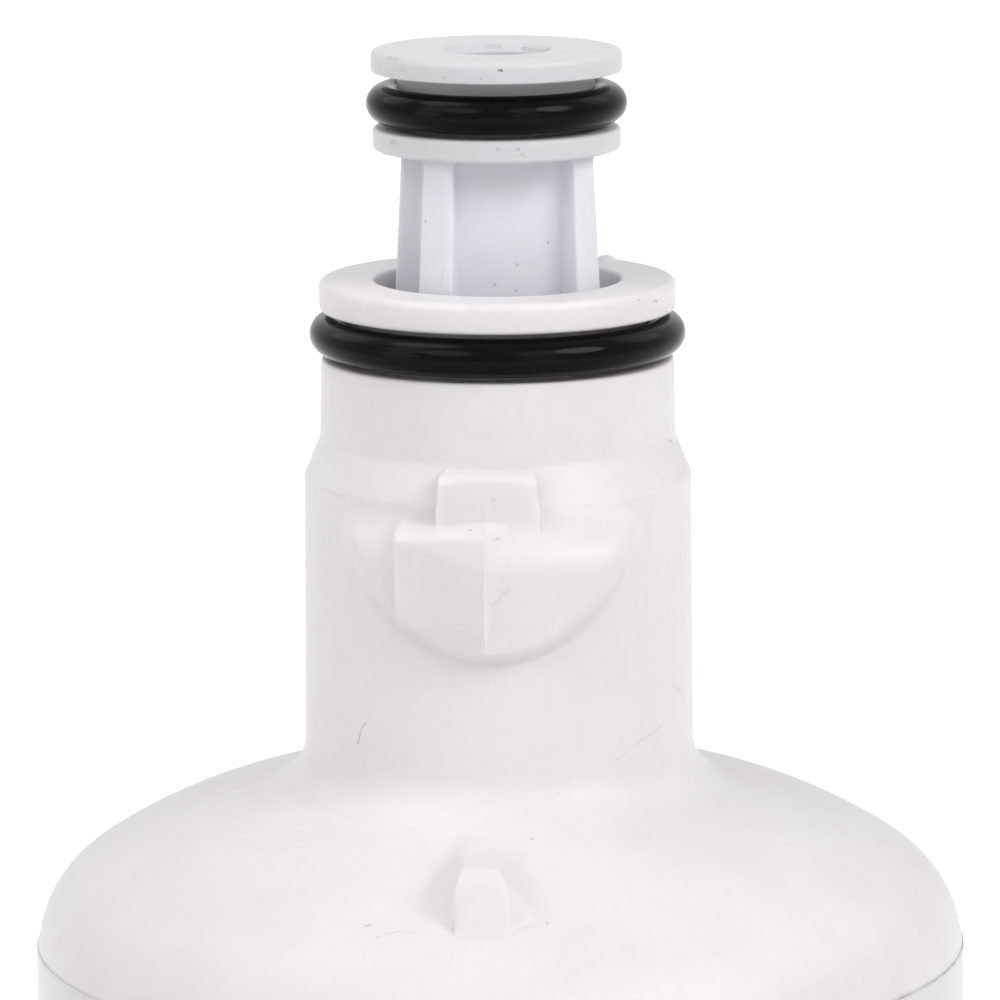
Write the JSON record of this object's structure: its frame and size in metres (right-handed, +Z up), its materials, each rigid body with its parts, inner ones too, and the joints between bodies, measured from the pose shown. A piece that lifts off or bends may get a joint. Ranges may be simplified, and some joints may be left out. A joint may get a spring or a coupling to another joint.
{
  "type": "fridge water filter cartridge",
  "caption": "Bottle-type water filter cartridge with a domed shoulder, a bayonet neck with a seal ring, and a fluted outlet nozzle that stands out of its mouth.",
  "frame": {"origin": "centre of the base, on the plane of the standing ring", "axes": "+Z up along the cartridge's axis, out of the mouth; -Y towards the lug that carries the key and the rib on the shoulder"},
  "size_m": [0.0638, 0.0637, 0.2163],
  "materials": {
    "housing_plastic": "moulded, satin",
    "nozzle_plastic": "moulded, satin",
    "seal_rubber": "moulded, lightly greased",
    "cap_plastic": "moulded",
    "pressed_carbon": "pressed, dull",
    "wrap_felt": "non-woven",
    "label_film": "coated film"
  },
  "bodies": {
    "root": {"housing": "housing_plastic", "base_cap": "housing_plastic", "outlet_nozzle": "nozzle_plastic", "nozzle_o_ring": "seal_rubber", "neck_o_ring": "seal_rubber", "block_top_cap": "cap_plastic", "block_bottom_cap": "cap_plastic", "carbon_block": "pressed_carbon", "sediment_wrap": "wrap_felt", "label": "label_film"}
  },
  "joints": []
}
